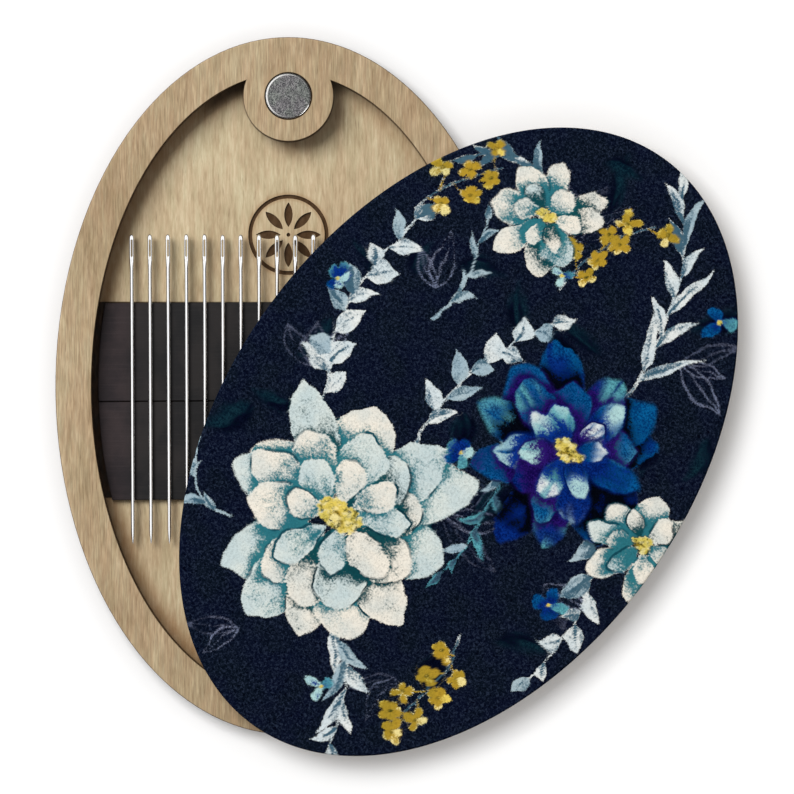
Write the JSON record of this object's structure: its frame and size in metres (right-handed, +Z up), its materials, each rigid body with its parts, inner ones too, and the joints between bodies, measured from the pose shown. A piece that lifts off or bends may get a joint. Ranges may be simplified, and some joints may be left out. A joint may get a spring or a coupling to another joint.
{
  "type": "needle case",
  "caption": "Flat oval wooden needle case with a magnetic strip bed for needles and a cloth-covered lid that swings and lifts off on magnets.",
  "frame": {"origin": "centre of the base board's flat underside, where the case rests", "axes": "+Z up out of the case, +Y along its length towards the catch magnets, +X to the right seen from above, towards which the lid is swung open at rest"},
  "size_m": [0.0879, 0.0926, 0.0097],
  "materials": {
    "plywood_board": "3 mm birch plywood, sanded, laser-cut edges burnt brown",
    "plywood_frame": "3 mm birch plywood, sanded, laser-cut edges burnt brown",
    "plywood_lid": "3 mm birch plywood, sanded, laser-cut edges burnt brown",
    "velour_cover": "matt printed velour, flowers and leaves on navy",
    "magnet_nickel": "nickel plating, satin grey face and bright chamfered rim",
    "magnetic_tape": "matt charcoal ferrite rubber",
    "needle_steel": "polished nickel-plated steel"
  },
  "bodies": {
    "base": {"base_board": "plywood_board", "base_frame": "plywood_frame", "catch_magnet_base": "magnet_nickel", "pivot_magnet_base": "magnet_nickel", "magnetic_tape_upper": "magnetic_tape", "magnetic_tape_lower": "magnetic_tape", "needle_01": "needle_steel", "needle_02": "needle_steel", "needle_03": "needle_steel", "needle_04": "needle_steel", "needle_05": "needle_steel", "needle_06": "needle_steel", "needle_07": "needle_steel", "needle_08": "needle_steel", "needle_09": "needle_steel", "needle_10": "needle_steel", "needle_11": "needle_steel", "needle_12": "needle_steel", "needle_13": "needle_steel", "needle_14": "needle_steel", "needle_15": "needle_steel", "needle_16": "needle_steel", "needle_17": "needle_steel", "needle_18": "needle_steel"},
    "lid_pivot": {"pivot_magnet_lid": "magnet_nickel"},
    "lid": {"lid_board": "plywood_lid", "lid_cover": "velour_cover", "catch_magnet_lid": "magnet_nickel"}
  },
  "joints": [
    {"name": "lid_lift", "type": "slide", "parent": "base", "child": "lid_pivot", "axis": [0, 0, 1], "range_m": [0, 0.03]},
    {"name": "lid_swivel", "type": "hinge", "parent": "lid_pivot", "child": "lid", "pos_m": [0, -0.0374, 0.0061], "axis": [0, 0, 1], "range_deg": [-143.95, 36.05]}
  ]
}
